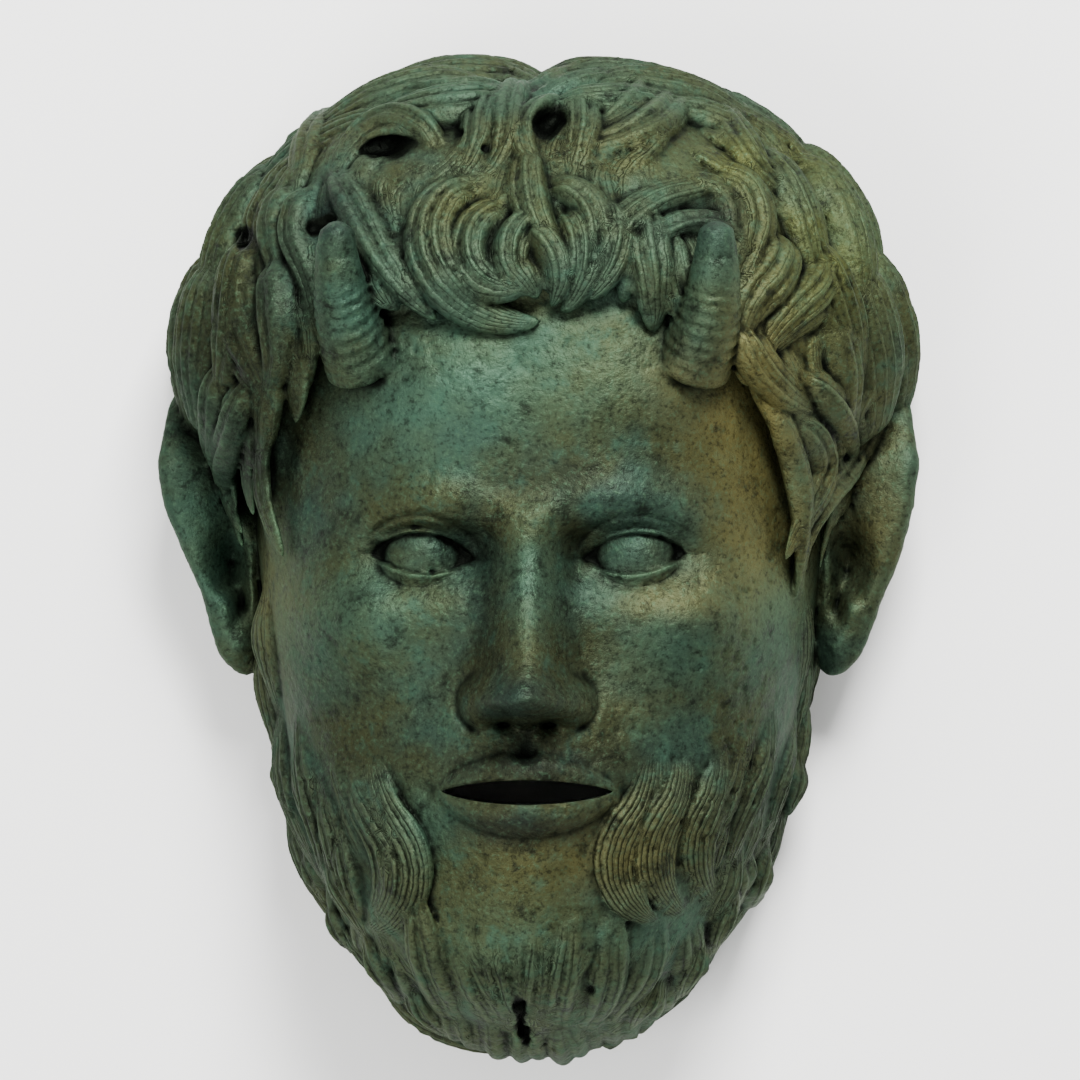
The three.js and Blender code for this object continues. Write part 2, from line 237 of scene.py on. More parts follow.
# What the broad features of the face add to the dome, straight out of the face.
def faceRelief(x, y):
    side = np.abs(x)
    noseShare = np.clip((face["bridgeY"] - y) / (face["bridgeY"] - noseBaseY), 0, 1)
    noseAcross = np.exp(-((side / mix(*face["noseHalfWidth"], noseShare**2)) ** 2.6))
    noseAlong = ramp(y, noseBaseY - 3, noseBaseY + 7) * ramp(browY + 8 - y, 0, 14)
    nose = mix(*face["noseRise"], noseShare**1.2) * noseAcross * noseAlong
    return formsAt(broadForms, x, y) + nose + 4 * bump(side - 27, y - browArch(side) - 2, 22, 7)


def spreadOut(p, spread):
    centre = np.array([0, head["centreY"], 0])
    return centre + (p - centre) * spread[:, None]


def readPoints(mesh):
    points = np.empty(len(mesh.vertices) * 3)
    mesh.vertices.foreach_get("co", points)
    return points.reshape(-1, 3)


def writePoints(mesh, points):
    mesh.vertices.foreach_set("co", points.ravel())
    mesh.update()


def meshOf(bm, name):
    mesh = bpy.data.meshes.new(name)
    bm.to_mesh(mesh)
    bm.free()
    return mesh


def ballMesh(segments, rings):
    bm = bmesh.new()
    bmesh.ops.create_uvsphere(bm, u_segments=segments, v_segments=rings, radius=1)
    return meshOf(bm, "ball")


def addTo(clay, mesh, points):
    writePoints(mesh, points)
    clay.from_mesh(mesh)
    bpy.data.meshes.remove(mesh)


# The ball's points drawn out onto the bare head, in every direction from its centre.
def bareHead(steps):
    bm = bmesh.new()
    bmesh.ops.create_icosphere(bm, subdivisions=steps, radius=1)
    mesh = meshOf(bm, "head")
    rays = readPoints(mesh)
    centre = np.array([0, head["centreY"], 0])
    return mesh, centre + rays / headGauge(centre + rays)[:, None]


def modelHead():
    mesh, p = bareHead(head["ballSteps"])
    x, y = p[:, 0], p[:, 1]
    relief = faceRelief(x, y) * ramp(p[:, 2], 0, 40)
    p = spreadOut(p, spreadAt(x, y))
    p[:, 2] += relief
    writePoints(mesh, p)
    return mesh


# A path over the head: seen from the front, it leaves (x, y) on a heading and turns by two bends.
def strokePath(stroke, spreadOver, relief=0.0):
    x, y, heading, firstBend, lastBend, length = stroke[:6]
    steps = lock["steps"]
    x -= lock["rootShare"] * length * math.cos(math.radians(heading))
    y -= lock["rootShare"] * length * math.sin(math.radians(heading))
    length *= 1 + lock["rootShare"] + lock["tipShare"]
    xs, ys = [], []
    for i in range(steps + 1):
        xs.append(x)
        ys.append(y)
        turn = (firstBend if i + 0.5 < steps / 2 else lastBend) * 2 / steps
        x += length / steps * math.cos(math.radians(heading + turn / 2))
        y += length / steps * math.sin(math.radians(heading + turn / 2))
        heading += turn
    return layPath(np.array(xs), np.array(ys), spreadOver, relief)


def layPath(x, y, spreadOver, relief=0.0):
    at = frontPoint(x, y, 1 + spreadOver(x, y))
    at[:, 2] += relief * faceRelief(x, y) * ramp(at[:, 2], 0, 40)
    return withFrames(at)


# The points of a path with their outward normals, their headings and their left sides.
def withFrames(at):
    out = headNormal(at)
    along = np.gradient(at, axis=0)
    along = unit(along - out * np.sum(along * out, axis=1, keepdims=True))
    return {"at": at, "out": out, "side": np.cross(out, along)}


# A lock is a ball drawn out along a path into a ribbon: its root grows out of the hair, its tip is
# pointed, and grooves part it into round strands.
lock = {
    "steps": 28,  # along its path
    "overlap": 3.0,  # what its width gains over its stroke's
    "underside": 2.5,
    "groove": 2.0,  # depth of the grooves between full strands
    "roundness": 2.3,  # at 2 the strands are round, over 2 they are flatter
    "tilt": 0.35,  # how much higher one edge is than the other
    "offset": 1.6,  # how much lower than their neighbours some lie
    "rootShare": 0.16,  # what the tapered ends add, as shares of the length
    "tipShare": 0.09,
    "wander": 0.22,  # how far the strands swing sideways, in strands
    "taper": 0.4,  # how much lower it gets towards its tip
    "edgeLift": 3.0,  # how far the tips on the beard's edge stand off
    "hairHeight": (4.0, 0.25),  # a base, and a share of the width
    "rootDepth": {"hair": 4.0, "beard": 0.8},  # how deep in the skin it starts
    "fullness": {"hair": 0.75, "beard": 1.3},  # over 1, a lock is widest beyond its middle
    "bluntness": {"hair": 0.6, "beard": 0.7},  # the smaller, the rounder its tip
    "emerging": {"hair": 0.25, "beard": 0.6},  # share of a lock along which it rises from the skin
    "engraved": {"hair": 0.4, "beard": 1.0},  # strength of the fine lines on it
}
combed = []


def makeLock(clay, ball, path, width, height, strands, rng, kind="hair"):
    p = readPoints(ball)
    share = np.arccos(np.clip(p[:, 2], -1, 1)) / math.pi
    turn = np.arctan2(p[:, 1], p[:, 0])
    across, up = np.cos(turn), np.sin(turn)
    steps = np.arange(len(path["at"]))
    place = share * steps[-1]
    at, out, side = (
        np.stack([np.interp(place, steps, path[key][:, k]) for k in range(3)], axis=1)
        for key in ("at", "out", "side")
    )
    full = np.sin(math.pi * np.clip(share, 0, 1) ** lock["fullness"][kind]) ** lock["bluntness"][kind]
    risen = ramp(share, 0, lock["emerging"][kind])
    tilt = rng.uniform(-1, 1) * lock["tilt"]
    wander = lock["wander"] * np.sin(4 * share + rng.uniform(0, 2 * math.pi))
    row = (across + 1) / 2 * strands + wander * (1 - across**2)
    groove = np.abs(2 * (row - np.floor(row)) - 1) ** lock["roundness"] * (1 - across**6)
    depth = min(lock["groove"], 0.5 * height, 0.5 * width / strands) if strands > 1 else 0
    crown = height * (1 + tilt * across) * up * full * (1 - lock["taper"] * ramp(share, 0.45, 0.95))
    crown -= depth * groove * full**0.5 * ramp(up, 0, 0.5) * ramp(1 - share, 0.06, 0.38)
    rise = np.where(up > 0, crown * (risen if kind == "beard" else 1), lock["underside"] * up * full)
    rise -= min(lock["rootDepth"][kind], height) * (1 - risen) + lock["offset"] * rng.uniform(0, 1)
    points = at + side * (across * width / 2 * full)[:, None] + out * rise[:, None]
    addTo(clay, ball.copy(), points)
    top = (up > 0.05) & (full > 0.1)
    reach = (side / (width / 2 * np.maximum(full, 0.1))[:, None])[top]
    engraved = lock["engraved"][kind] * risen * ramp(full, 0.1, 0.4) * ramp(rise, -0.4, 0.6)
    values = np.stack([np.full(len(p), strands), wander, engraved], axis=1)[top]
    combed.append(np.concatenate([points[top], at[top], reach, values], axis=1))


# Which of the source's points is nearest to each point, and how far from it.
def nearest(source, points):
    tree = kdtree.KDTree(len(source))
    for i, point in enumerate(source):
        tree.insert(point, i)
    tree.balance()
    found = np.array([tree.find(point)[1:] for point in points])
    return found[:, 0].astype(int), found[:, 1]


# Where points of the skin lie across their lock, counted in strands, and how finely that is engraved.
def combOf(points):
    rows = np.concatenate(combed)
    found, distance = nearest(rows[:, :3], points)
    rows = rows[found]
    across = np.clip(np.sum((points - rows[:, 3:6]) * rows[:, 6:9], axis=1), -1, 1)
    row = (across + 1) / 2 * rows[:, 9] + rows[:, 10] * (1 - across**2)
    return row, rows[:, 11] * ramp(1.6 - distance, 0, 0.8) * ramp(1 - np.abs(across), 0.0, 0.15)


# The locks round the face, tuft by tuft from the parting on the viewer's left and then on the right:
# x and y of the root, heading, first bend, last bend, length, width and number of strands.
hairLocks = {
    "leftSweep": [(-2, 143, 166, 25, 15, 65, 15, 4), (-10, 139, 200, -20, 90, 58, 8, 2)],
    "leftArch": [(-27, 123, 115, 70, 80, 36, 7, 2)],
    "leftCrest": [(-60, 134, 225, 25, 10, 27, 11, 3), (-70, 132, 230, 10, 10, 18, 9, 2)],
    "leftHook": [
        (-80, 116, 235, -5, 155, 44, 14, 3),
        (-72, 110, 210, 65, 25, 35, 10, 2),
        (-66, 108, 210, 85, -30, 39, 8, 2),
    ],
    "leftTemple": [
        (-84, 86, 225, 60, 10, 41, 18, 3),
        (-76, 84, 285, -15, -35, 38, 16, 3),
        (-102, 87, 215, 95, -10, 35, 12, 2),
    ],
    "leftEar": [
        (-103, 72, 295, -20, -20, 44, 17, 3),
        (-108, 62, 260, 20, 20, 31, 12, 2),
        (-93, 56, 262, 5, 25, 44, 12, 3),
        (-85, 50, 258, -10, 60, 42, 11, 3),
    ],
    "leftRing": [
        (-17, 112, 165, 130, 75, 62, 14, 4),
        (-6, 104, 155, 125, 145, 44, 10, 3),
        (2, 99, 190, 70, 90, 24, 9, 3),
    ],
    "leftHornSide": [(-56, 111, 300, 0, 20, 48, 10, 2), (-56, 98, 305, -10, 0, 27, 6, 1)],
    "parting": [
        (-12, 138, 230, 35, -55, 31, 9, 3),
        (-5, 141, 230, 45, -55, 30, 8, 2),
        (-1, 117, 255, 35, 50, 38, 10, 3),
        (9, 136, 160, 105, 105, 35, 7, 2),
        (14, 136, 315, -55, -30, 27, 9, 3),
    ],
    "rightSweep": [
        (43, 137, 280, -80, -15, 34, 11, 2),
        (33, 140, 300, -85, -20, 21, 7, 2),
        (0, 142, 25, -35, -25, 68, 13, 4),
        (4, 139, 15, -20, -25, 65, 10, 3),
        (53, 134, 300, 5, 35, 39, 11, 3),
        (64, 134, 300, 5, 15, 29, 13, 3),
    ],
    "rightHook": [(57, 116, 360, -110, -5, 56, 10, 3), (56, 109, 350, -115, 45, 45, 10, 2)],
    "rightRing": [
        (28, 84, 100, -110, -135, 61, 7, 2),
        (20, 86, 85, -55, -30, 48, 9, 3),
        (7, 109, 25, -95, -95, 37, 10, 2),
        (12, 101, 320, -45, -55, 30, 9, 3),
        (24, 103, 300, -35, -45, 28, 9, 3),
        (34, 101, 275, 5, -15, 33, 12, 3),
        (41, 94, 280, 5, 5, 26, 8, 2),
        (2, 96, 325, -30, -60, 24, 7, 2),
    ],
    "rightTemple": [
        (74, 92, 285, -60, 60, 33, 14, 3),
        (87, 88, 290, -70, 30, 35, 14, 4),
        (63, 66, 265, 50, 25, 31, 12, 3),
        (82, 54, 305, 0, -35, 29, 9, 2),
        (79, 42, 340, -85, -10, 42, 10, 3),
        (72, 45, 295, -15, -20, 54, 7, 1),
    ],
    "rightEar": [
        (94, 105, 325, -65, -35, 42, 13, 3),
        (102, 97, 320, -60, -35, 38, 9, 3),
        (107, 84, 295, -50, 30, 44, 10, 3),
        (98, 72, 295, -30, -15, 32, 9, 2),
        (88, 71, 280, 0, 0, 41, 11, 2),
        (108, 44, 250, -15, 20, 39, 6, 2),
        (102, 43, 245, -10, 45, 56, 8, 2),
    ],
}

beardLocks = {
    "leftMoustache": [
        (-49, -52, 252, 55, -115, 64, 14, 5),
        (-58, -54, 265, 45, -100, 60, 13, 4),
        (-66, -58, 280, 10, -50, 46, 11, 4),
    ],
    "leftWhiskers": [
        (-84, -26, 265, 15, 10, 46, 8, 3),
        (-82, -30, 270, 10, 0, 60, 9, 3),
        (-77, -34, 265, 15, -5, 64, 9, 3),
        (-71, -38, 262, 25, -15, 66, 9, 3),
        (-64, -80, 278, 20, -10, 36, 11, 4),
        (-61, -66, 283, 0, -20, 50, 12, 4),
    ],
    "rightMoustache": [
        (38, -50, 300, -70, 110, 60, 14, 5),
        (47, -49, 302, -68, 95, 58, 13, 5),
        (57, -48, 300, -60, 75, 56, 11, 4),
    ],
    "rightWhiskers": [
        (82, -32, 283, -25, 0, 48, 7, 3),
        (78, -35, 282, -28, 5, 55, 8, 3),
        (72, -38, 285, -38, 10, 56, 9, 3),
        (65, -42, 290, -50, 25, 62, 9, 3),
        (62, -80, 268, -20, 10, 32, 11, 4),
    ],
    "leftTier": [
        (-68, -88, 270, 15, 15, 19, 9, 2),
        (-62, -98, 290, -10, -10, 20, 12, 2),
        (-54, -104, 280, 5, 5, 25, 12, 2),
        (-46, -108, 290, 0, 0, 32, 12, 2),
        (-34, -98, 275, 10, 0, 47, 12, 2),
        (-24, -112, 295, 10, -30, 38, 12, 2),
    ],
    "rightTier": [
        (64, -86, 260, 0, 0, 20, 12, 2),
        (56, -90, 285, -20, -15, 27, 12, 2),
        (48, -104, 280, -25, -20, 26, 12, 2),
        (38, -106, 280, -40, 0, 37, 12, 2),
        (26, -104, 275, -25, -10, 45, 12, 2),
        (12, -100, 275, -20, 5, 49, 12, 3),
        (2, -105, 272, -15, 0, 43, 12, 3),
        (-10, -108, 282, 0, 0, 38, 12, 3),
    ],
    "leftEdge": [
        (-84, -56, 281, 0, -12, 28, 12, 3),
        (-72, -82, 294, 0, -25, 25, 11, 3),
        (-65, -97, 300, 0, -25, 25, 11, 3),
        (-53, -110, 308, 0, -25, 24, 11, 3),
        (-40, -124, 311, 0, -25, 22, 10, 3),
    ],
    "leftFoot": [(-27, -128, 288, 0, -10, 24, 12, 2), (-15, -133, 278, 0, -5, 23, 12, 2)],
    "rightEdge": [
        (81, -56, 254, 0, 20, 25, 10, 3),
        (71, -82, 246, 0, 25, 25, 11, 3),
        (62, -95, 240, 0, 20, 23, 9, 3),
        (53, -110, 235, 0, 20, 22, 9, 3),
        (41, -122, 228, 0, 20, 20, 8, 3),
    ],
    "rightFoot": [
        (-2, -133, 270, 0, 0, 26, 12, 2),
        (10, -134, 267, 0, 0, 25, 12, 2),
        (21, -131, 265, 0, 5, 31, 15, 2),
        (32, -127, 260, 0, 8, 30, 15, 2),
        (43, -119, 248, 0, 15, 24, 12, 2),
    ],
}


# The tips of the fringe come down on the forehead.
def overHair(x, y):
    fringe = mix(0.3, 1, ramp(hairShare(x, y), 0.86, 1.08)) * mix(0.55, 1, ramp(y, 22, 48))
    return hairDepth(outlineShare(x, y) / 1.14) * ramp(y, -30, 20) * fringe


def modelHair(clay, ball, rng):
    for tuft in hairLocks.values():
        for stroke in tuft:
            width, strands = stroke[6:]
            base, share = lock["hairHeight"]
            path = strokePath(stroke, overHair)
            makeLock(clay, ball, path, width + lock["overlap"], base + share * width, strands, rng)


beardHeight = {"Moustache": 5.4, "Whiskers": 5.0, "Tier": 4.2, "Edge": 6.2, "Foot": 6.4}


def modelBeard(clay, ball, rng):
    for name, tuft in beardLocks.items():
        kind = name.removeprefix("left").removeprefix("right")
        for stroke in tuft:
            width, strands = stroke[6:]
            path = strokePath(stroke, overBeard, relief=1)
            if kind == "Edge":  # their tips stand off, and notch the outline
                lift = lock["edgeLift"] * np.linspace(0, 1, lock["steps"] + 1) ** 2
                path["at"] = path["at"] + path["out"] * lift[:, None]
            makeLock(clay, ball, path, width + lock["overlap"], beardHeight[kind], strands, rng, "beard")


# Between those locks and the rim, thick locks overlap in rows from the crown to the ears and on to
# the chin. Rows and locks are placed in degrees from the crown, and by their height over the rim.
backRows = [
    {"z": 60, "count": 4, "from": 0, "pitch": 17, "length": 36, "width": 20, "height": 7, "strands": 5},
    {"z": 42, "count": 4, "from": 5, "pitch": 17, "length": 41, "width": 24, "height": 9, "strands": 7},
    {"z": 23, "count": 4, "from": -2, "pitch": 19, "length": 42, "width": 25, "height": 9, "strands": 7},
    {"z": 6, "count": 4, "from": -4, "pitch": 20, "length": 43, "width": 23, "height": 8, "strands": 6},
    {"z": 46, "count": 3, "from": 112, "pitch": 17, "length": 27, "width": 18, "height": 3.4, "strands": 6},
    {"z": 28, "count": 3, "from": 117, "pitch": 18, "length": 29, "width": 20, "height": 4.4, "strands": 6},
    {"z": 10, "count": 3, "from": 115, "pitch": 18, "length": 29, "width": 20, "height": 4.4, "strands": 6},
]

backLocks = {
    "wave": 7.0,  # how far they swing up and down
    "lowest": 0.5,  # their least height over the rim
    "crown": 1.2,  # the height of the hair's at the crown, over their row's
    "beardFrom": 100,  # degrees
    "left": {"corner": 0.75, "side": 0.66, "sideFrom": 46, "sideTo": 76, "beard": 3.0},
    "right": {"corner": 0.95, "side": 0.6, "sideFrom": 40, "sideTo": 68, "beard": 0.0},
}


# The locks stand out most at the crown and over the ears, and less at the corners between them.
def backHeight(row, kind, middle, shape):
    if kind == "beard":
        return row["height"] + shape["beard"]
    height = row["height"] * mix(backLocks["crown"], shape["corner"], ramp(middle, 15, 40))
    return height + shape["side"] * ramp(middle, shape["sideFrom"], shape["sideTo"]) * row["height"]


def modelBackLocks(clay, ball, rng):
    for row in backRows:
        for i in range(row["count"] * 2):
            side = -1 if i % 2 else 1
            first = row["from"] + row["pitch"] * (i // 2)
            share = np.linspace(0, 1, lock["steps"] + 1)
            angle = np.radians(90 + side * (first + row["length"] * share))
            x, y = np.cos(angle), head["centreY"] + np.sin(angle)
            level = np.maximum(row["z"] + backLocks["wave"] * np.sin(4 * share + i), backLocks["lowest"])
            m = profileCurve(x, y)
            reach = (1 - (level / head["depth"]) ** m) ** (1 / m) / outlineShare(x, y)
            bare = np.stack([x * reach, head["centreY"] + (y - head["centreY"]) * reach, level], axis=1)
            path = withFrames(spreadOut(bare, spreadAt(bare[:, 0], bare[:, 1])))
            kind = "hair" if first < backLocks["beardFrom"] else "beard"
            shape = backLocks["left" if side > 0 else "right"]
            height = backHeight(row, kind, first + row["length"] / 2, shape)
            makeLock(clay, ball, path, row["width"], height, row["strands"], rng, kind)


# Low locks fill the hair and the beard between these, and run the way the nearest ones do.
fill = {
    "hair": {"count": 150, "spacing": 7.0, "length": 40.0, "width": 10.0, "height": (1.8, 3.0)},
    "beard": {"count": 130, "spacing": 7.0, "length": 42.0, "width": 9.0, "height": (1.4, 2.2)},
    "strands": 3,
    "reach": 8.0,  # how far the direction of a lock is felt
    "steps": 24,
    "least": 12,  # points left outside the hairline, for a lock to be kept
    "tries": 40,
}


def lockField():
    places, headings = [], []
    for tufts in (hairLocks, beardLocks):
        for tuft in tufts.values():
            for stroke in tuft:
                at = strokePath(stroke, overHair)["at"][:, :2]
                places.append(at)
                headings.append(unit(np.gradient(at, axis=0)))
    return np.concatenate(places), np.concatenate(headings)


def followField(x, y, field, length):
    places, headings = field
    xs, ys = [x], [y]
    heading = np.zeros(2)
    for _ in range(fill["steps"]):
        near = np.exp(-np.sum((places - (x, y)) ** 2, axis=1) / fill["reach"] ** 2 / 2) + 1e-12
        pull = (headings * near[:, None]).sum(axis=0) / near.sum()
        heading = unit(heading * 0.6 + pull)
        x += heading[0] * length / fill["steps"]
        y += heading[1] * length / fill["steps"]
        xs.append(x)
        ys.append(y)
    return np.array(xs), np.array(ys)


def isFilled(x, y, kind):
    share = outlineShare(x, y)
    if kind == "hair":
        return hairShare(x, y) > 1.1 and y > 40 and share < 1.15
    return beardLine(x) - y > 2 and share < 1.02 and (abs(x) > 60 or y < -100)


def modelFill(clay, ball, rng):
    field = lockField()
    for kind in ("hair", "beard"):
        style = fill[kind]
        taken = []
        for _ in range(style["count"] * fill["tries"]):
            if len(taken) == style["count"]:
                break
            x, y = rng.uniform(-112, 112), rng.uniform(-148, 150)
            crowded = any(math.hypot(x - a, y - b) < style["spacing"] for a, b in taken)
            if crowded or not isFilled(x, y, kind):
                continue
            taken.append((x, y))
            xs, ys = followField(x, y, field, style["length"] * rng.uniform(0.7, 1.2))
            if kind == "hair":
                free = int(np.argmin(np.append(hairShare(xs, ys), 0) > 0.98))
                if free < fill["least"]:
                    continue
                xs, ys = xs[:free], ys[:free]
            path = layPath(xs, ys, overHair if kind == "hair" else overBeard, relief=float(kind == "beard"))
            width = style["width"] * rng.uniform(0.8, 1.2)
            makeLock(clay, ball, path, width, rng.uniform(*style["height"]), fill["strands"], rng, kind)


# A horn stands up and forward out of the fringe, with raised rings round it and a blunt, worn tip.
horn = {
    "root": (47.0, 54.0, 98.0),
    "bow": (57.0, 76.0, 115.0),
    "tip": (55.0, 98.0, 117.0),
    "rootRadius": 12.0,
    "tipRadius": 4.6,
    "rings": 17,
    "ringHeight": 0.5,
    "nick": (0.8, 0.78),  # depth, and where it is along the horn
    "capShare": 0.18,  # how soon the round ends reach the full radius
}


def modelHorn(clay, side):
    root, bow, tip = (np.array([side * v[0], v[1], v[2]]) for v in (horn["root"], horn["bow"], horn["tip"]))
    ball = ballMesh(48, 96)
    p = readPoints(ball)
    share = (np.arccos(np.clip(p[:, 2], -1, 1)) / math.pi)[:, None]
    turn = np.arctan2(p[:, 1], p[:, 0])[:, None]
    line = (1 - share) ** 2 * root + 2 * share * (1 - share) * bow + share**2 * tip
    along = unit(2 * (1 - share) * (bow - root) + 2 * share * (tip - bow))
    out = unit(np.array([0, 0, 1]) - along * along[:, 2:])
    across = np.cross(out, along)
    ringed = ramp(share, 0.08, 0.16) * ramp(0.68 - share, 0, 0.14)
    wave = share * horn["rings"] + 0.35 * np.sin(turn) + 0.15 * np.sin(2 * turn + side)
    wave += 0.3 * np.sin(9 * share)
    ridge = horn["ringHeight"] * (1 - 2 * np.abs(np.sin(math.pi * wave)) ** 0.7) * ringed
    depth, place = horn["nick"]
    ridge -= depth * peak(share - place, 0.015) * np.sin(turn)
    cap = np.minimum(1, np.sin(math.pi * share) / horn["capShare"]) ** 0.5
    radius = (mix(horn["rootRadius"], horn["tipRadius"], share**1.1) + ridge) * cap
    addTo(clay, ball, line + across * radius * np.cos(turn) + out * radius * np.sin(turn))


# An ear stands flat beside the temple: a raised rim, a shallow dish, a deep bowl and a round lobe.
ear = {
    "outer": {-37: 95, -30: 97, -22: 99, -11: 102, 0: 107, 14: 112.5, 28: 115, 46: 112},  # x of the rim at y
    "fullerRight": 2.5,  # what the right one's rim adds to that beside the bowl
    "inner": 82.0,
    "middle": (9.0, 26.0),  # y and z
    "halfHeight": 45.0,
    "halfDepth": 9.0,
    "flare": 0.35,  # rise outwards
    "drop": 6.0,  # how much lower its top lies, under the hair
    "dish": 1.0,
    "forms": {
        "bowl": (-11, 93.5, -2, 4.8, 9.5),
        "canal": (-5, 90, -14, 2.6, 5),
        "backFold": (2.4, 94, -16, 2.6, 3.5),
        "lobe": (2, 90, -28, 5, 6),
        "frontFold": (2.4, 86.5, -4, 2.4, 9),
    },
    "shadeSpared": 0.9,  # share of a recess's painted shade that the ear's dish is spared
}


def modelEar(clay, side):
    ball = ballMesh(96, 96)
    p = readPoints(ball)
    x, y, z = p[:, 0], p[:, 1], p[:, 2]
    py = ear["middle"][0] + y * ear["halfHeight"]
    outer = np.interp(py, list(ear["outer"]), list(ear["outer"].values()))
    if side > 0:
        outer = outer + ear["fullerRight"] * peak(py + 8, 18)
    half = (outer - ear["inner"]) / 2
    ends = np.clip((np.abs(y) - 0.78) / 0.22, 0, 1)
    px = ear["inner"] + half * (1 + x / np.sqrt(np.maximum(1 - y**2, 0.001)) * np.sqrt(1 - ends**2))
    pz = ear["middle"][1] + (px - ear["inner"]) * ear["flare"] + z * ear["halfDepth"]
    pz -= ear["drop"] * ramp(py, 25, 50)
    dish = ear["dish"] * ramp(outer - px, 2, 9) * ramp(py, -20, -6) * ramp(px, 86, 92)
    pz += ramp(z, 0, 0.25) * (formsAt(ear["forms"], px, py) - dish)
    addTo(clay, ball, np.stack([side * px, py, pz], axis=1))


def lipGap(x):
    return face["mouthGap"] / 2 * np.maximum(1 - (x / face["slitHalfWidth"]) ** 2, 0) ** 0.75


# The eyes: a ball, and round it a lid with an edge, lying on the ball up to the crease.
def setEyes(x, y, z, front):
    dx, dy = np.abs(x) - face["eyeWidth"], y - face["eyeY"]
    centre = frontPoint(face["eyeWidth"], face["eyeY"])[2] + faceRelief(face["eyeWidth"], face["eyeY"])
    centre += face["eyeballRise"] - face["eyeballRadius"]
    span = 1 - np.minimum(np.abs(dx) / face["eyeHalfLength"], 1) ** 2
    tilted = dy - 0.05 * dx
    gap = np.minimum(face["upperLid"] * span**0.8 - tilted, tilted + face["lowerLid"] * span)
    gap = np.where(np.abs(dx) < face["eyeHalfLength"], gap, -np.abs(tilted))
    reach = dx**2 + dy**2
    ballZ = centre + np.sqrt(np.maximum(face["eyeballRadius"] ** 2 - reach, 0))
    lidRadius = face["eyeballRadius"] + face["lidThickness"]
    lidZ = centre + np.sqrt(np.maximum(lidRadius**2 - reach, 0))
    lidZ += 0.5 * peak(gap + 0.9, 0.7)
    lidded = np.maximum(z, lidZ)
    crease = 1.1 * peak(gap + 5.2, 0.9) * ramp(dy, 1, 4) * ramp(17 - np.abs(dx), 0, 5)
    closed = ramp(-gap, -0.35, 0.45)
    near = ramp(face["eyeballRadius"] + 8 - np.sqrt(reach), 0, 4) * front
    ballZ = np.maximum(ballZ, z - 1.4)
    return mix(z, mix(ballZ, lidded, closed) - crease, near)


# The lips: two full forms that meet at the corners, bowed above and rounded below.
def lipRelief(x, y):
    side = np.abs(x)
    span = np.maximum(1 - (x / face["mouthHalfWidth"]) ** 2, 0)
    above, below = y - mouthY - lipGap(x), mouthY - lipGap(x) - y
    bow = 1 - 0.16 * peak(x, 3.5) + 0.1 * peak(side - 6, 4)
    upper = np.clip(above / np.maximum(face["upperLip"] * span**0.6 * bow, 0.1), 0, 1)
    lower = np.clip(below / np.maximum(face["lowerLip"] * span**0.5, 0.1), 0, 1)
    upper = face["upperFullness"] * (1 - upper**2) ** 0.8 * (0.75 + 0.7 * upper)
    lower = face["lowerFullness"] * (1 - lower**2) ** 0.8 * (0.7 + 0.9 * lower)
    return np.where(above > -3, upper, lower) * span**0.5


fineForms = {
    "noseTip": (2.2, 0, noseBaseY + 8, 8, 7),
    "nostril": (-7, 6.5, noseBaseY - 0.5, 3.2, 1.9),
    "lipChannel": (-1.2, 0, noseBaseY - 8, 2.6, 6),
    "channelEdge": (0.7, 5, noseBaseY - 9, 1.8, 6),
    "mouthCorner": (-1.5, face["mouthHalfWidth"] + 1, mouthY, 3, 3.5),
}


# The fine features of the face, cut into the fused skin where it looks forward.
def finishFace(p):
    x, y, z = p[:, 0], p[:, 1], p[:, 2]
    side = np.abs(x)
    front = ramp(z, 40, 60)
    z = setEyes(x, y, z, front)
    brow = 1.3 * bump(side - 28, y - browArch(side) + 3, 19, 2.6)
    wing = np.hypot(side - 12.5, (y - noseBaseY - 5.5) / 1.05)
    wingCrease = 1.8 * peak(wing - 8, 1.5) * ramp(side, 12, 17)
    z = z + (brow - wingCrease + formsAt(fineForms, x, y) + lipRelief(x, y)) * front
    return np.stack([x, y, z], axis=1)


# What time and the mould left on the skin: waves, pits, holes in the hair and a break under the beard.
wear = {
    "waves": (0.35, 16.0),  # height or depth, and size
    "ripples": (0.175, 6.0),
    "pits": (0.5, 2.6),
    "grain": (0.12, 1.6),
    "pittedPatches": 30.0,
    "holes": [  # x, y, half width, half height and depth
        (-43, 121, 6, 3, 3.4), (-86, 95, 2.5, 3, 3), (5, 128, 3.5, 4, 3), (-63, 97, 2.5, 2, 2.5),
        (-60, 99, 2, 1.6, 2), (-21, 125, 1, 1, 1.5), (-13, 120, 0.9, 0.9, 1.5),
        (-3, -134, 2.0, 2.6, 3), (-2.5, -141.5, 1.8, 1.6, 2.2), (18, -128, 1.2, 1.6, 1.2),
    ],
    "crack": {"x": -3.0, "top": -134.0, "bottom": -148.0, "halfWidth": 0.5, "depth": 3.0},
}


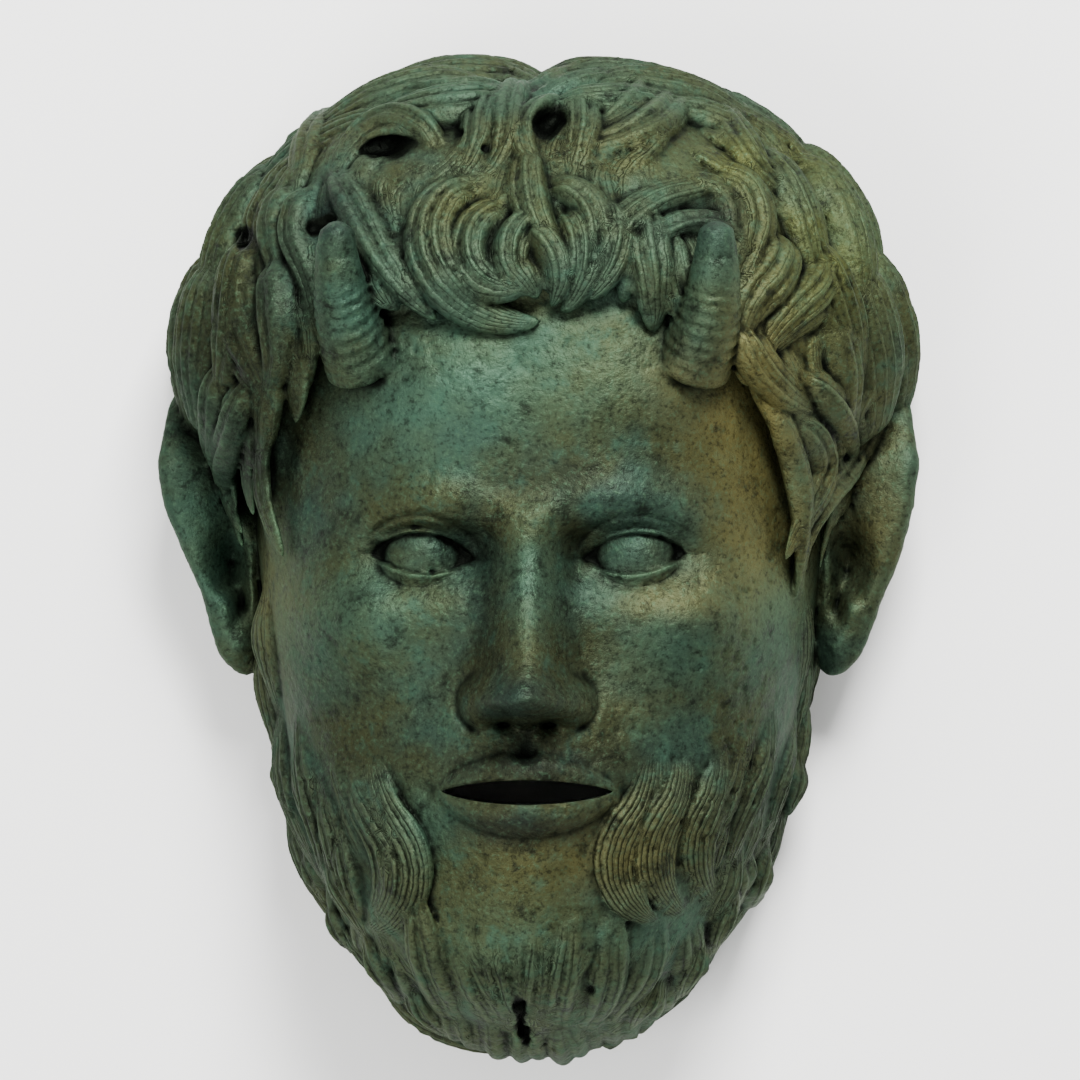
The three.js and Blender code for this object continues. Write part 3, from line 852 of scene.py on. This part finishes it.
# Moves the points of the skin, and tells how deep in a hole or the crack they are.
def weather(p, normals):
    x, y, z = p[:, 0], p[:, 1], p[:, 2]
    (waves, waveSize), (ripples, rippleSize) = wear["waves"], wear["ripples"]
    (pits, pitSize), (grain, grainSize) = wear["pits"], wear["grain"]
    move = waves * cloud(p, waveSize, 1) + ripples * cloud(p, rippleSize, 2)
    pitted = ramp(cloud(p, wear["pittedPatches"], 3), -0.2, 0.6)
    move -= pits * ramp(cloud(p, pitSize, 4), 0.35, 0.8) * mix(0.35, 1, pitted)
    move += grain * cloud(p, grainSize, 5)
    hole = np.zeros(len(p))
    for hx, hy, sx, sy, depth in wear["holes"]:
        hole += depth * bump(x - hx, y - hy, sx, sy) * ramp(z, 5, 15)
    crack = wear["crack"]
    line = x - crack["x"] - 0.8 * np.sin(0.55 * y) - 0.4 * np.sin(2.3 * y)
    gap = crack["halfWidth"] * (1 + 0.5 * np.sin(1.3 * y))
    between = ramp(crack["top"] - y, -3, 2) * ramp(y - crack["bottom"], 0, 5)
    hole += crack["depth"] * ramp(gap - np.abs(line), -0.9, 0.5) * between
    return p + normals * (move - hole)[:, None], hole


def objectOf(name, data):
    piece = bpy.data.objects.new(name, data)
    bpy.context.scene.collection.objects.link(piece)
    return piece


def applied(piece):
    graph = bpy.context.evaluated_depsgraph_get()
    mesh = bpy.data.meshes.new_from_object(piece.evaluated_get(graph))
    piece.modifiers.clear()
    piece.data = mesh


def normalsOf(mesh):
    normals = np.empty(len(mesh.vertices) * 3)
    mesh.vertex_normals.foreach_get("vector", normals)
    return normals.reshape(-1, 3)


# Averages values over each point's neighbours, a number of rounds.
def spreadValues(mesh, values, rounds):
    ends = np.empty(len(mesh.edges) * 2, dtype=np.int32)
    mesh.edges.foreach_get("vertices", ends)
    first, last = ends[0::2], ends[1::2]
    count = len(values)
    degree = np.maximum(np.bincount(first, minlength=count) + np.bincount(last, minlength=count), 1)
    for _ in range(rounds):
        sums = [
            np.bincount(first, weights=values[last, k], minlength=count)
            + np.bincount(last, weights=values[first, k], minlength=count)
            for k in range(values.shape[1])
        ]
        values = np.stack(sums, axis=1) / degree[:, None]
    return values


hollowForms = {
    "eyes": (-15, face["eyeWidth"], face["eyeY"], 24, 17),
    "nose": (13, 0, noseBaseY + 14, 9, 17),
    "mouth": (12, 0, mouthY - 20, 38, 34),
}


# The hollow follows the head, its hair, its eye sockets and its nose, about one wall inside them.
def modelHollow():
    mesh, p = bareHead(head["hollowSteps"])
    x, y = p[:, 0], p[:, 1]
    hair = ramp(hairShare(x, y), 1, 1.15) * ramp(y, 0, 20)
    hair = hair * (1 - ramp(outlineShare(x, y), 0.78, 0.9) * ramp(head["earRoomTop"] + 6 - y, 0, 12))
    spread = 1 + hairDepth(outlineShare(x, y)) * hair + (head["beardSpread"] - 1) * ramp(-y, 40, 130)
    inner = spreadOut(p, spread) - head["wall"] * headNormal(p)
    inner[:, 2] += ramp(p[:, 2], 0, 40) * formsAt(hollowForms, x, y)
    writePoints(mesh, inner)
    return objectOf("hollow", mesh)


def modelSlit():
    ball = ballMesh(64, 32)
    size = np.array([face["slitHalfWidth"], face["mouthGap"] / 2, 60])
    p = readPoints(ball)
    p[:, 1] *= np.maximum(1 - p[:, 0] ** 2, 0) ** 0.25
    writePoints(ball, p * size + np.array([0, mouthY, head["depth"] - 5]))
    return objectOf("slit", ball)


def modelSlab():
    bm = bmesh.new()
    bmesh.ops.create_cube(bm, size=1)
    bmesh.ops.scale(bm, vec=casting["slab"], verts=bm.verts)
    bmesh.ops.translate(bm, vec=(0, 0, -casting["slab"][2] / 2), verts=bm.verts)
    return objectOf("slab", meshOf(bm, "slab"))


def fuse(clay):
    piece = objectOf("pan_mask_bronze", meshOf(clay, "clay"))
    remesh = piece.modifiers.new("fuse", "REMESH")
    remesh.mode = "VOXEL"
    remesh.voxel_size = casting["grain"]
    applied(piece)
    return piece


def thin(piece, triangles):
    total = sum(len(polygon.vertices) - 2 for polygon in piece.data.polygons)
    decimate = piece.modifiers.new("thin", "DECIMATE")
    decimate.ratio = triangles / total
    applied(piece)


def cut(piece, tools):
    for tool in tools:
        boolean = piece.modifiers.new("cut", "BOOLEAN")
        boolean.operation = "DIFFERENCE"
        boolean.solver = "MANIFOLD"
        boolean.object = tool
    applied(piece)
    for tool in tools:
        bpy.data.objects.remove(tool)


patinaReach = {
    "near": 8,  # rounds of averaging, each about one edge wide
    "wide": 70,
    "holeShade": 1.5,  # how much deeper than it is a hole counts, for the painted shade
    "skin": 1.5,  # what lies further than this from the skin is inside
}


# Height of each point over its surroundings, near and wide, which the patina reads.
def reliefOf(mesh):
    p = readPoints(mesh)
    normals = normalsOf(mesh)
    near, wide = (
        np.sum((p - spreadValues(mesh, p, rounds)) * normals, axis=1)
        for rounds in (patinaReach["near"], patinaReach["wide"])
    )
    values = spreadValues(mesh, np.stack([near, wide], axis=1), 2)
    return p, values


def addValues(mesh, name, values):
    mesh.attributes.new(name, "FLOAT", "POINT").data.foreach_set("value", values.astype(np.float32))


def modelClay():
    rng = random.Random(casting["seed"])
    clay = bmesh.new()
    clay.from_mesh(modelHead())
    modelHair(clay, ballMesh(72, 40), rng)
    modelBeard(clay, ballMesh(60, 40), rng)
    modelBackLocks(clay, ballMesh(96, 36), rng)
    modelFill(clay, ballMesh(44, 26), rng)
    for side in (-1, 1):
        modelHorn(clay, side)
        modelEar(clay, side)
    for point in clay.verts:
        point.co.z = max(point.co.z, -casting["skirt"])
    print("modelled:", len(clay.verts), "points")
    return clay


# What the material reads, kept on the points: relief for the rubbed ridges and the painted shade of the
# recesses, the inside, the strands, and the stains and patches of painted shade and light.
def addPatinaValues(mesh, source, values):
    p = readPoints(mesh)
    found, distance = nearest(source, p)
    inside = distance > patinaReach["skin"]
    near, wide = values[found, 0], values[found, 1]
    near = near * np.where(near > 0, 1 - patchOf("blueBlack", p), 1)  # blue-black parts, stains and painted shadow alike, aren't rubbed lighter
    # less painted shade in the ear's dish
    wide = wide * (1 - ear["shadeSpared"] * bump(np.abs(p[:, 0]) - 93, p[:, 1], 13, 34))
    row, weight = combOf(p)
    addValues(mesh, "near", np.where(inside, 0, near))
    addValues(mesh, "wide", np.where(inside, 0, wide))
    addValues(mesh, "inside", inside.astype(float))
    addValues(mesh, "row", row)
    addValues(mesh, "combed", np.where(inside, 0, weight))
    for name in stainsAndPaintedLight:
        addValues(mesh, name, patchOf(name, p))


def modelMask():
    piece = fuse(modelClay())
    mesh = piece.data
    print("fused:", len(mesh.vertices), "points")
    p = finishFace(readPoints(mesh))
    writePoints(mesh, p)
    p, hole = weather(p, normalsOf(mesh))
    writePoints(mesh, mix(p, spreadValues(mesh, p, 1), casting["smoothing"]))
    source, values = reliefOf(mesh)
    # the holes and the crack get deeper painted shade
    values[:, 1] -= patinaReach["holeShade"] * hole
    thin(piece, casting["triangles"])
    print("thinned:", len(piece.data.polygons), "faces")
    cut(piece, [modelHollow(), modelSlit(), modelSlab()])
    mesh = piece.data
    print("hollowed:", len(mesh.polygons), "faces")
    addPatinaValues(mesh, source, values)
    p = readPoints(mesh)
    p[:, 1] += head["shiftY"]
    writePoints(mesh, p * mm)
    mesh.polygons.foreach_set("use_smooth", [True] * len(mesh.polygons))
    mesh.update()
    return piece


# Where the patina is stained, and where shade or light is painted on it: x, y, half width, half height and
# strength.
stainsAndPaintedLight = {
    "ochre": [
        (64, 40, 15, 28, 1.0), (68, -2, 12, 16, 0.7), (42, -12, 16, 7, 0.5), (-79, -10, 8, 18, 0.6),
        (42, 52, 9, 9, 0.7), (98, 15, 12, 24, 0.6), (22, -88, 24, 12, 0.5), (30, -38, 14, 12, 0.35),
    ],
    # blue-black: stains on the nose and lips and darker horn tips; the patches beside the horns, at (-44,
    # 66) and (48, 60), are painted shadow
    "blueBlack": [
        (-2, -42, 14, 14, 0.45), (2, -60, 28, 7, 0.6), (-14, -18, 6, 22, 0.25),
        (0, -79, 24, 6, 0.7), (12, 22, 30, 9, 0.4), (-44, 66, 13, 14, 0.5), (48, 60, 12, 18, 0.6),
        (-62, 20, 10, 30, 0.3), (-58, 100, 8, 8, 0.9), (55, 100, 8, 8, 0.8),
    ],
    # pale: lighter patina; on the left ear, at (-97, 6), it is painted light that lifts the ear out of its
    # shade
    "pale": [
        (-8, 55, 42, 16, 0.6), (-50, 74, 9, 15, 0.6), (-97, 6, 12, 34, 0.7), (0, -116, 34, 14, 0.3),
        (50, 74, 9, 15, 0.5), (-34, 34, 28, 14, 0.4), (72, -14, 10, 12, 0.6), (44, -30, 14, 8, 0.5),
        (-48, -18, 18, 16, 0.6), (2, -6, 7, 15, 0.7), (-30, -78, 10, 12, 0.5),
        (24, 136, 26, 8, 0.6), (-32, 138, 22, 8, 0.5),
    ],
    "yellow": [
        (88, 92, 18, 24, 0.8), (60, 118, 24, 12, 0.7), (-100, 96, 16, 20, 0.5),
        (-4, 104, 22, 12, 0.4),
    ],
    # painted shade: it darkens the left side of the hair and the left temple, the right ear, the beard's
    # sides, the lower face and the crown, where less light falls
    "paintedShade": [
        (-88, 64, 30, 48, 0.7), (-86, 20, 10, 26, 0.3), (98, 18, 12, 24, 0.45),
        (-66, -72, 18, 34, 0.4), (66, -76, 18, 22, 0.4), (0, -25, 110, 50, 0.32),
        (0, 130, 70, 14, 0.2),
    ],
}


# How strongly each point carries a named list of patches, stains as well as painted shade and light.
def patchOf(name, p):
    total = sum(strength * bump(p[:, 0] - x, p[:, 1] - y, sx, sy) for x, y, sx, sy, strength in stainsAndPaintedLight[name])
    ragged = 1 + 0.45 * cloud(p, 9, 6) + 0.3 * cloud(p, 3.5, 7)
    return np.clip(total * ragged, 0, 1)


def hexColour(text):
    channels = [int(text[i : i + 2], 16) / 255 for i in (1, 3, 5)]
    linear = [c / 12.92 if c < 0.04045 else ((c + 0.055) / 1.055) ** 2.4 for c in channels]
    return (*linear, 1.0)


def addNode(tree, kind, settings=None, inputs=None):
    node = tree.nodes.new(kind)
    for key, value in (settings or {}).items():
        setattr(node, key, value)
    for key, value in (inputs or {}).items():
        if isinstance(value, bpy.types.NodeSocket):
            tree.links.new(value, node.inputs[key])
        else:
            node.inputs[key].default_value = value
    return node


# Cast bronze with a natural green patina: an oxide skin, nearly matt, rubbed lighter on the ridges, with
# ochre and blue-black stains. Shade is painted into its recesses, holes and fine grooves, and in patches.
patina = {
    "green": "#283a30",
    "blueGreen": "#2d4a3c",
    "olive": "#31341f",
    "hair": "#3a3f2b",
    "ochre": "#5e5830",
    "blueBlack": "#11171a",
    "pale": "#345041",
    "yellow": "#3d4120",
    # painted shade, laid on where less light falls
    "paintedShade": "#0c100a",
    # dark and black also paint the shade of the recesses, the holes and the fine grooves
    "dark": "#0b0e0a",
    "black": "#040504",
    "rubbed": "#3f5a43",
    "inside": "#10140f",
    "glancing": "#a2ae9c",
}

bronze = {
    "metallic": 0.62,
    "roughness": (0.4, 0.62),
    "specular": 0.3,
    "specularLost": 0.24,  # where the recesses are painted in shade
    "lineWave": 0.6,
    "linesPerStrand": 2.0,
}


def bronzePatina():
    material = bpy.data.materials.new("cast_bronze_green_patina")
    material.use_nodes = True
    tree = material.node_tree
    tree.nodes.clear()
    place = addNode(tree, "ShaderNodeTexCoord").outputs["Object"]

    def clouds(size, detail, roughness=0.6):  # size in millimetres
        settings = {"noise_dimensions": "3D"}
        inputs = {"Vector": place, "Scale": 1 / (size * mm), "Detail": detail, "Roughness": roughness}
        return addNode(tree, "ShaderNodeTexNoise", settings, inputs).outputs["Fac"]

    def shareOf(value, low, high):
        inputs = {"Value": value, "From Min": low, "From Max": high}
        return addNode(tree, "ShaderNodeMapRange", {"interpolation_type": "SMOOTHSTEP"}, inputs).outputs[0]

    def blend(share, below, above):
        settings = {"data_type": "RGBA"}
        return addNode(tree, "ShaderNodeMix", settings, {0: share, 6: below, 7: above}).outputs[2]

    def valueOf(name):
        return addNode(tree, "ShaderNodeAttribute", {"attribute_name": name}).outputs["Fac"]

    def figure(operation, first, second=0.0):
        return addNode(tree, "ShaderNodeMath", {"operation": operation}, {0: first, 1: second}).outputs[0]

    def bumped(height, strength, distance, below=None, invert=False):  # distance in millimetres
        inputs = {"Strength": strength, "Distance": distance * mm, "Height": height}
        if below is not None:
            inputs["Normal"] = below
        return addNode(tree, "ShaderNodeBump", {"invert": invert}, inputs).outputs[0]

    middle = clouds(9, 5, 0.7)
    fine = clouds(1.6, 4, 0.7)
    near, wide, combedness = valueOf("near"), valueOf("wide"), valueOf("combed")
    # painted shade: the deeper a point lies below its near surroundings, the blacker
    recess = shareOf(near, -0.03, -0.4)

    # fine lines, which the tool cut along each strand, with painted shade in their grooves
    wobble = figure("MULTIPLY", clouds(6, 2), bronze["lineWave"])
    lines = figure("MULTIPLY", valueOf("row"), bronze["linesPerStrand"])
    line = figure("FRACT", figure("ADD", lines, wobble))
    line = figure("MULTIPLY", figure("ABSOLUTE", figure("SUBTRACT", line, 0.5)), 2.0)
    line = figure("MULTIPLY", figure("POWER", line, 3.0), combedness)

    layers = [  # from the oxide skin up: where, which colour and how strongly
        (shareOf(clouds(45, 3), 0.38, 0.62), "green", 1.0),
        (combedness, "hair", 0.7),
        (shareOf(middle, 0.5, 0.72), "blueGreen", 0.6),
        # stains, with patches of painted shade and light among them
        *[(valueOf(name), name, 0.85) for name in stainsAndPaintedLight],
        (shareOf(middle, 0.48, 0.3), "dark", 0.75),
        (shareOf(fine, 0.52, 0.68), "rubbed", 0.3),
        (shareOf(near, 0.1, 0.8), "rubbed", 0.8),
        # painted shade: broad recesses and holes darker, the narrowest ones black
        (shareOf(wide, 0.2, -1.8), "dark", 1.0),
        (recess, "black", 1.0),
        # painted shade in the fine grooves
        (line, "black", 0.8),
        (shareOf(fine, 0.48, 0.34), "dark", 0.6),
        (valueOf("inside"), "inside", 1.0),
    ]
    colour = hexColour(patina["olive"])
    for share, name, strength in layers:
        colour = blend(figure("MULTIPLY", share, strength), colour, hexColour(patina[name]))

    smooth, coarse = bronze["roughness"]
    limits = {"Value": middle, "From Min": 0.3, "From Max": 0.7, "To Min": smooth, "To Max": coarse}
    # less specular where the recesses are painted in shade
    shadedRecess = figure("MAXIMUM", recess, shareOf(wide, 0.0, -1.8))
    lost = figure("MULTIPLY", shadedRecess, bronze["specularLost"])
    normal = bumped(line, 0.8, 0.6, invert=True)
    normal = bumped(fine, 0.6, 0.5, normal)
    normal = bumped(clouds(3.5, 4), 0.45, 1.2, normal)
    inputs = {
        "Base Color": colour,
        "Roughness": addNode(tree, "ShaderNodeMapRange", None, limits).outputs[0],
        "Metallic": bronze["metallic"],
        "Specular IOR Level": figure("SUBTRACT", bronze["specular"], lost),
        "Specular Tint": hexColour(patina["glancing"]),
        "Normal": normal,
    }
    shader = addNode(tree, "ShaderNodeBsdfPrincipled", None, inputs)
    addNode(tree, "ShaderNodeOutputMaterial", None, {"Surface": shader.outputs[0]})
    return material


# A pale floor, soft lights and a long lens that looks down, a little from one side.
studio = {
    "picture": 322.0,  # width of what the camera sees, at its aim
    "distance": 2500.0,
    "turn": 2.5,  # degrees that the head looks past the camera
    "aim": (1.6, 5.0, 60.0),
    "sensor": 36.0,
    "floor": "#fcfcfa",
    "floorSize": 4.0,  # half its width, in metres
    "world": 0.85,
    "lights": {  # place and size in metres, power in watts
        "key": ((0.32, 1.3, 1.5), 0.7, 112),
        "fill": ((-0.9, -0.8, 1.7), 1.2, 40),
    },
}


def makeFloor():
    bm = bmesh.new()
    bmesh.ops.create_grid(bm, x_segments=1, y_segments=1, size=studio["floorSize"])
    floor = objectOf("floor", meshOf(bm, "floor"))
    material = bpy.data.materials.new("matt_white_paper")
    material.use_nodes = True
    shader = material.node_tree.nodes["Principled BSDF"]
    shader.inputs["Base Color"].default_value = hexColour(studio["floor"])
    shader.inputs["Roughness"].default_value = 0.9
    floor.data.materials.append(material)


def makeLight(name, place, size, power):
    light = bpy.data.lights.new(name, "AREA")
    light.size = size
    light.energy = power
    holder = objectOf(name, light)
    holder.location = place
    holder.rotation_euler = (-Vector(place)).to_track_quat("-Z", "Y").to_euler()


def makeStudio():
    world = bpy.data.worlds.new("studio")
    world.use_nodes = True
    sky = world.node_tree.nodes["Background"]
    sky.inputs["Color"].default_value = (1, 1, 1, 1)
    sky.inputs["Strength"].default_value = studio["world"]
    bpy.context.scene.world = world
    for name, (place, size, power) in studio["lights"].items():
        makeLight(name, place, size, power)
    camera = bpy.data.cameras.new("camera")
    camera.sensor_width = studio["sensor"]
    camera.lens = studio["sensor"] * studio["distance"] / studio["picture"]
    holder = objectOf("camera", camera)
    aim = Vector(studio["aim"]) * mm
    turn = math.radians(studio["turn"])
    holder.location = aim + Vector((math.sin(turn), 0, math.cos(turn))) * studio["distance"] * mm
    holder.rotation_euler = (0, turn, 0)
    camera.clip_end = 20
    bpy.context.scene.camera = holder


makeStudio()
makeFloor()
mask = modelMask()
mask.data.materials.clear()
mask.data.materials.append(bronzePatina())
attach(mask, "root")
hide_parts("pan_mask")
print("finished: mask")
